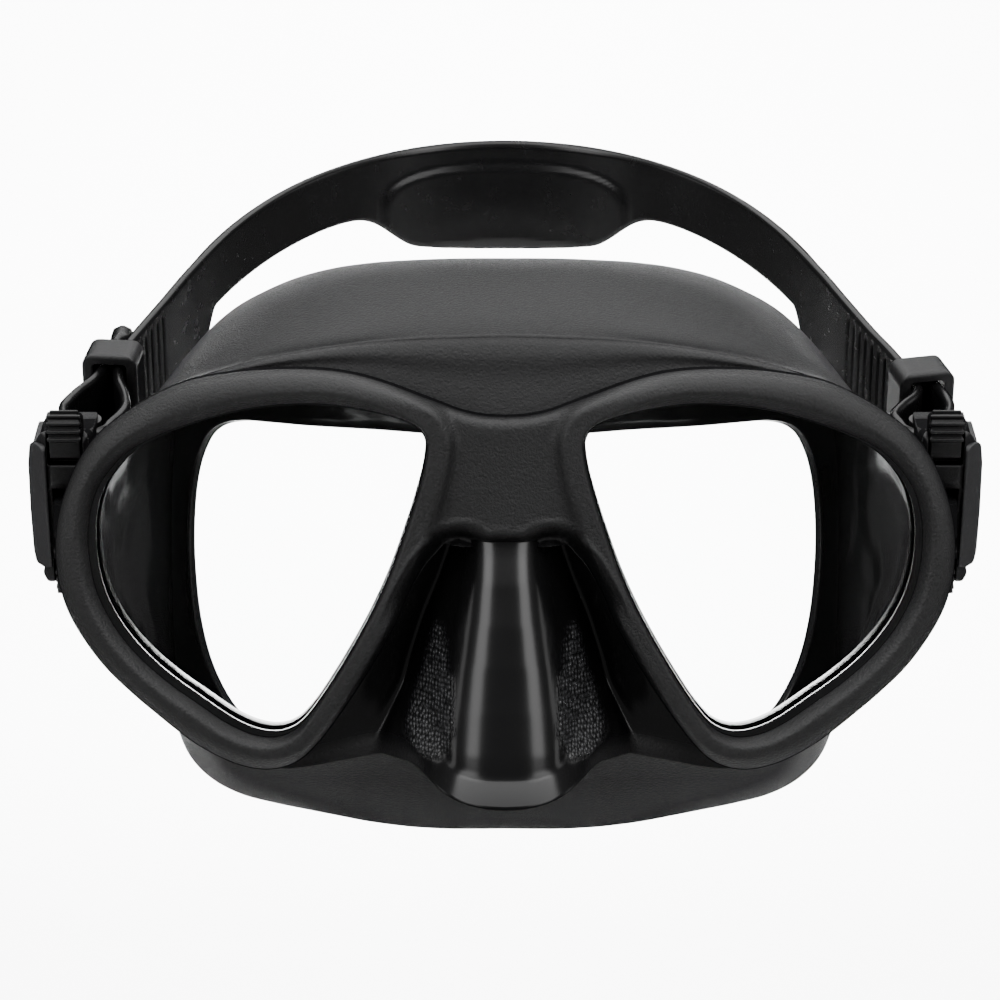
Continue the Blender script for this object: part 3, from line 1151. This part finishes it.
def dup(ob):
    o = bpy.data.objects.new("t", ob.data.copy())
    bpy.context.scene.collection.objects.link(o)
    return o


def lift_front(ob, lo_b, hi_b):
    """The front end of the buckle stands up a little above its rear end."""
    me = ob.data
    co = np.zeros(len(me.vertices) * 3)
    me.vertices.foreach_get("co", co)
    co = co.reshape(-1, 3) / MM
    co[:, 2] += 3.2 * np.clip((-1 - co[:, 1]) / 8.0, 0, 1) * sstep(lo_b, hi_b, co[:, 2])
    me.vertices.foreach_set("co", (co * MM).reshape(-1))
    me.update()
    return ob


def make_body():
    prof_ = [(76.0, 15.4), (84.6, 15.4), (86.2, 12.6), (85.2, 8.2), (84.8, 4.0), (84.8, -4.0), (85.2, -8.2), (86.2, -12.8),
             (84.6, -14.8), (76.0, -14.8), (76.0, -9.5), (76.8, -7.5), (76.8, 7.5), (76.0, 9.5)]
    ob = prism(rnd(prof_, [1.8, 3.4, 1.4, 3.0, 3.0, 3.0, 3.0, 1.4, 3.0, 1.8, 0.6, 0.6, 0.6, 0.6]), "a", -9.0, 16.6)
    side_ = rnd([(-9.0, 15.4), (-2.0, 15.2), (4.0, 13.4), (9.0, 12.1), (13.9, 11.9), (13.9, -11.9), (9.0, -12.3),
                 (4.0, -13.9), (-2.0, -14.8), (-9.0, -13.6)], [3.4, 6, 6, 6, 3.0, 3.0, 6, 6, 6, 3.2], 8)
    ob = boolean(ob, prism(side_, "x", 70, 95), 'INTERSECT')
    plan = rnd([(75.8, -9.2), (82.9, -9.2), (86.9, -5.3), (86.9, 16.6), (76.8, 16.6), (75.9, 2.0)], [2.2, 1.6, 2.0, 3.0, 3.0, 2.0], 8)
    ob = boolean(ob, prism(plan, "b", -20, 20), 'INTERSECT')
    # scooped front between the two button pockets
    scoop = rnd([(-12.0, 7.2), (-8.6, 7.2), (-7.4, 4.5), (-6.6, 0.0), (-7.4, -4.5), (-8.6, -7.2), (-12.0, -7.2)], [0, 1.6, 4, 6, 4, 1.6, 0], 8)
    ob = boolean(ob, prism(scoop, "x", 77.2, 84.0), 'DIFFERENCE')
    ob = boolean(ob, prism([(60, 5.9), (95, 5.9), (95, 30), (60, 30)], "b", -10.95, 10.95), 'DIFFERENCE')
    ob = boolean(ob, prism([(79.6, -12), (83.2, -12), (83.2, 5.0), (79.6, 5.0)], "b", -6.6, 6.2), 'DIFFERENCE')
    for z0, z1 in ((8.3, 22.0), (-22.0, -8.3)):
        ob = boolean(ob, prism([(77.1, -12), (83.75, -12), (83.75, -0.9), (77.1, -0.9)], "b", z0, z1), 'DIFFERENCE')
    ob = boolean(ob, rod("x", 0.0, 0.0, 2.12, 77.0, 90.0), 'DIFFERENCE')
    return lift_front(soften(ob, 0.17, 6), 6.4, 8.3)


def make_cover():
    prof_ = [(84.0, 13.6), (87.1, 12.6), (87.75, 8.4), (88.0, 0.0), (87.75, -8.0), (87.2, -10.6), (84.0, -10.9)]
    ob = prism(rnd(prof_, [0.3, 1.0, 4, 10, 4, 1.0, 0.3]), "a", -9.3, 15.4)
    side_ = rnd([(-9.2, 13.2), (14.2, 11.0), (14.2, -9.6), (-9.2, -10.6)], [3.0, 7.0, 7.0, 2.0], 10)
    ob = boolean(ob, prism(side_, "x", 70, 95), 'INTERSECT')
    plan = rnd([(83.9, -6.0), (83.9, -9.0), (84.5, -8.9), (87.6, -5.6), (88.2, -3.6), (88.2, 2.0), (87.9, 9.0), (86.5, 15.6), (83.9, 15.6)],
               [0, 0.2, 0.5, 1.2, 2, 12, 12, 1.0, 0], 8)
    ob = boolean(ob, prism(plan, "b", -20, 20), 'INTERSECT')
    # shallow seat for the end of the swivel pin
    ob = boolean(ob, rod("x", 0.0, 0.0, 2.4, 82.0, 84.95), 'DIFFERENCE')
    return lift_front(soften(ob, 0.16, 3), 0.0, 12.0)


def make_button(tip):
    """Ribbed squeeze button; tip is how far it stands out along b."""
    sh = tip - 18.7
    core = rnd([(-8.3, 9.6), (-8.3, 18.1 + sh), (-1.3, 18.1 + sh), (-1.3, 9.6)], [0.5, 3.9, 1.6, 0.5], 10)
    ob = prism(core, "x", 77.55, 83.25)
    ob = boolean(ob, prism(rnd([(77.5, 0), (83.3, 0), (83.3, 18.2 + sh), (77.5, 18.2 + sh)], [0, 0, 1.6, 1.6], 6), "a", -12, 2), 'INTERSECT')
    cx_, cb_, R_ = -4.9, 14.8 + sh, 3.55
    s_ = 0.45
    while s_ < 8.4:
        if s_ < 2.5:
            c_, n_ = np.array([-8.45, 12.3 + sh + s_]), np.array([-1.0, 0.0])
        else:
            an = math.radians(180) - (s_ - 2.5) / R_
            n_ = np.array([math.cos(an), math.sin(an)])
            c_ = np.array([cx_, cb_]) + n_ * R_
        t_ = np.array([-n_[1], n_[0]])
        q = [c_ + n_ * 0.50 + t_ * 0.40, c_ + n_ * 0.50 - t_ * 0.40, c_ - n_ * 2.9 - t_ * 0.40, c_ - n_ * 2.9 + t_ * 0.40]
        ob = boolean(ob, prism(rnd([tuple(v) for v in q], [0.36, 0.36, 0, 0], 5), "x", 77.32 + (0.45 if s_ > 6.0 else 0.0),
                               83.50 - (0.45 if s_ > 6.0 else 0.0)), 'UNION')
        s_ += 1.62
    # moulding line down the smooth foot
    ob = boolean(ob, prism([(-9.2, 9.9), (-8.1, 9.9), (-8.1, 11.9 + sh), (-9.2, 11.9 + sh)], "x", 80.35, 80.55), 'DIFFERENCE')
    return soften(ob, 0.13, 3)


def make_keeper(cx, ca, yaw, sgn, gap, lip):
    """Rubber loop that holds the strap's tail, with full rounded edges."""
    w = gap / 2 + 2.1
    outer = rnd([(-w, -12.9), (w, -12.9), (w, 12.9), (-w, 12.9)], 2.6, 8)
    inner = rnd([(-gap / 2, -10.9), (gap / 2, -10.9), (gap / 2, 10.9), (-gap / 2, 10.9)], 0.7, 4)
    ob = prism(outer, "a", -4.0, 4.0)
    plan = rnd([(-w - 0.2, -4.0), (w + 0.2, -4.0), (w + 0.2, 4.0), (-w - 0.2, 4.0)], 0.9, 5)
    ob = boolean(ob, prism(plan, "b", -20, 20), 'INTERSECT')
    side_ = rnd([(-4.0, 13.0), (4.0, 13.0), (4.0, -13.0), (-4.0, -13.0)], 1.0, 5)
    ob = boolean(ob, prism(side_, "x", -20, 20), 'INTERSECT')
    ob = boolean(ob, prism(inner, "a", -6.0, 6.0), 'DIFFERENCE')
    # inner lip that hugs the strap at the rear end
    ob = boolean(ob, prism([(-gap / 2 - 0.4, 2.2), (-gap / 2 + lip, 3.0), (-gap / 2 + lip, 3.8), (-gap / 2 - 0.4, 3.8)], "b", -11.4, 11.4), 'UNION')
    ob = soften(ob, 0.19, 4)
    me = ob.data
    co = np.zeros(len(me.vertices) * 3)
    me.vertices.foreach_get("co", co)
    co = co.reshape(-1, 3) / MM
    y_ = math.radians(yaw)
    X_ = cx + co[:, 0] * math.cos(y_) - co[:, 1] * math.sin(y_)
    A_ = ca + co[:, 0] * math.sin(y_) + co[:, 1] * math.cos(y_)
    me.vertices.foreach_set("co", (np.stack([X_, A_, co[:, 2]], 1) * MM).reshape(-1))
    return ob


def flip_b(ob):
    me = ob.data
    co = np.zeros(len(me.vertices) * 3)
    me.vertices.foreach_get("co", co)
    co = co.reshape(-1, 3)
    co[:, 2] *= -1
    me.vertices.foreach_set("co", co.reshape(-1))
    me.flip_normals()
    return ob


def make_pin():
    """Roller pin with domed ends."""
    prof_ = rnd([(-1.2, -11.4), (1.2, -11.4), (1.2, 11.4), (-1.2, 11.4)], 0.5, 4)
    ob = rod("b", ROLLER_X, ROLLER_A, 1.2, -11.4, 11.4, 32)
    cut = prism([(ROLLER_X + p_, q_) for p_, q_ in prof_], "a", ROLLER_A - 3, ROLLER_A + 3)
    return soften(boolean(ob, cut, 'INTERSECT'), 0.14, 3)


body0, cover0, up0, lo0 = make_body(), make_cover(), lift_front(make_button(19.4), 5.0, 8.0), flip_b(make_button(17.0))
pin0 = make_pin()
for s, f, r in (("left", 1.0, "l"), ("right", -1.0, "r")):
    last = s == "right"
    settle(body0 if last else dup(body0), "buckle_shell_" + s, "strap_and_buckles", M_BUCKLE, "buckle_body_" + s, f, 0.45)
    settle(cover0 if last else dup(cover0), "buckle_face_" + s, "strap_and_buckles", M_COVER, "buckle_cover_" + s, f, 0.6)
    settle(pin0 if last else dup(pin0), "roller_axle_" + s, "strap_and_buckles", M_STEEL, "roller_pin_" + s, f, 0.8)
    settle(up0 if last else dup(up0), "button_top_" + s, "upper_button_" + r, M_BUTTON, "upper_button_" + s, f, 0.8)
    settle(lo0 if last else dup(lo0), "button_bottom_" + s, "lower_button_" + r, M_BUTTON, "lower_button_" + s, f, 0.8)
settle(make_keeper(80.1, 30.6, 13.0, 1, 6.8, 0.30), "keeper_loop_left", "keeper_l", M_KEEPER, "keeper_left", 1.0)
settle(make_keeper(76.15, 38.2, 6.0, 1, 6.6, 0.60), "keeper_loop_right", "keeper_r", M_KEEPER, "keeper_right", -1.0)

# ---------------------------------------------------------------------------
# floor, light and camera
# ---------------------------------------------------------------------------
def stage_mat():
    m, nt, p, vec = base_mat("studio_paper")
    a = noise(nt, vec, 3.0, 2.0, 0.5)
    nt.links.new(ramp(nt, a, [(0.3, (0.93, 0.93, 0.93, 1)), (0.7, (0.95, 0.95, 0.95, 1))]), p.inputs["Base Color"])
    p.inputs["Roughness"].default_value = 0.9
    return m


fm = bpy.data.meshes.new("studio_floor")
Zf = -0.75
pr = [(y, Zf) for y in np.linspace(-0.45, 3.0, 6)]
for k in range(1, 13):
    a = math.radians(90.0 * k / 12)
    pr.append((3.0 + 1.0 * math.sin(a), Zf + 1.0 * (1 - math.cos(a))))
pr += [(4.0, Zf + 2.0), (4.0, Zf + 3.2)]
xs_ = np.linspace(-1.15, 1.15, 7)
vv = [(x, y, z) for x in xs_ for (y, z) in pr]
fm.from_pydata(vv, [], [(i * len(pr) + j, (i + 1) * len(pr) + j, (i + 1) * len(pr) + j + 1, i * len(pr) + j + 1)
                        for i in range(len(xs_) - 1) for j in range(len(pr) - 1)])
floor = bpy.data.objects.new("studio_floor", fm)
bpy.context.scene.collection.objects.link(floor)
fm.materials.append(stage_mat())
for p in fm.polygons:
    p.use_smooth = True

world = bpy.data.worlds.new("studio")
bpy.context.scene.world = world
world.use_nodes = True
bg = world.node_tree.nodes["Background"]
bg.inputs[0].default_value = (1.0, 1.0, 1.0, 1)
bg.inputs[1].default_value = 0.16


def area(name, loc, target, size, size_y, power, spread=180.0):
    L = bpy.data.lights.new(name, 'AREA')
    L.shape = 'RECTANGLE'
    L.size = size
    L.size_y = size_y
    L.energy = power
    L.spread = math.radians(spread)
    o = bpy.data.objects.new(name, L)
    bpy.context.scene.collection.objects.link(o)
    o.location = loc
    o.rotation_euler = (Vector(target) - Vector(loc)).to_track_quat('-Z', 'Y').to_euler()
    return o


area("top_softbox", (0.0, -0.30, 0.80), (0, -0.03, 0.0), 1.15, 0.62, 7.8)
area("left_strip", (-0.60, -0.74, 0.42), (0, -0.04, 0.02), 0.40, 1.15, 5.2)
area("right_strip", (0.60, -0.74, 0.42), (0, -0.04, 0.02), 0.40, 1.15, 5.2)
area("rear_softbox", (0.0, 0.40, 0.66), (0, 0.0, 0.02), 1.10, 0.40, 4.5)
area("left_side", (-0.85, 0.05, 0.12), (0, 0.0, 0.0), 0.4, 0.6, 0.8)
area("right_side", (0.85, 0.05, 0.12), (0, 0.0, 0.0), 0.4, 0.6, 0.8)
area("backdrop_wash_top", (0.0, 2.3, 1.5), (0, 3.9, -0.2), 3.2, 0.8, 330.0, 120.0)
area("backdrop_wash_low", (0.0, 2.3, -0.55), (0, 4.0, -0.1), 3.2, 0.5, 110.0, 140.0)

cam = bpy.data.cameras.new("camera")
cam.lens = 131.8
cam.sensor_width = 36.0
cam.clip_start = 0.01
co = bpy.data.objects.new("camera", cam)
bpy.context.scene.collection.objects.link(co)
D, E = 0.650, math.radians(6.0)
T = Vector((-0.000976, -0.040, 0.0071))
fwd = Vector((0, math.cos(E), -math.sin(E)))
co.location = T - fwd * D
co.rotation_euler = fwd.to_track_quat('-Z', 'Y').to_euler()
bpy.context.scene.camera = co
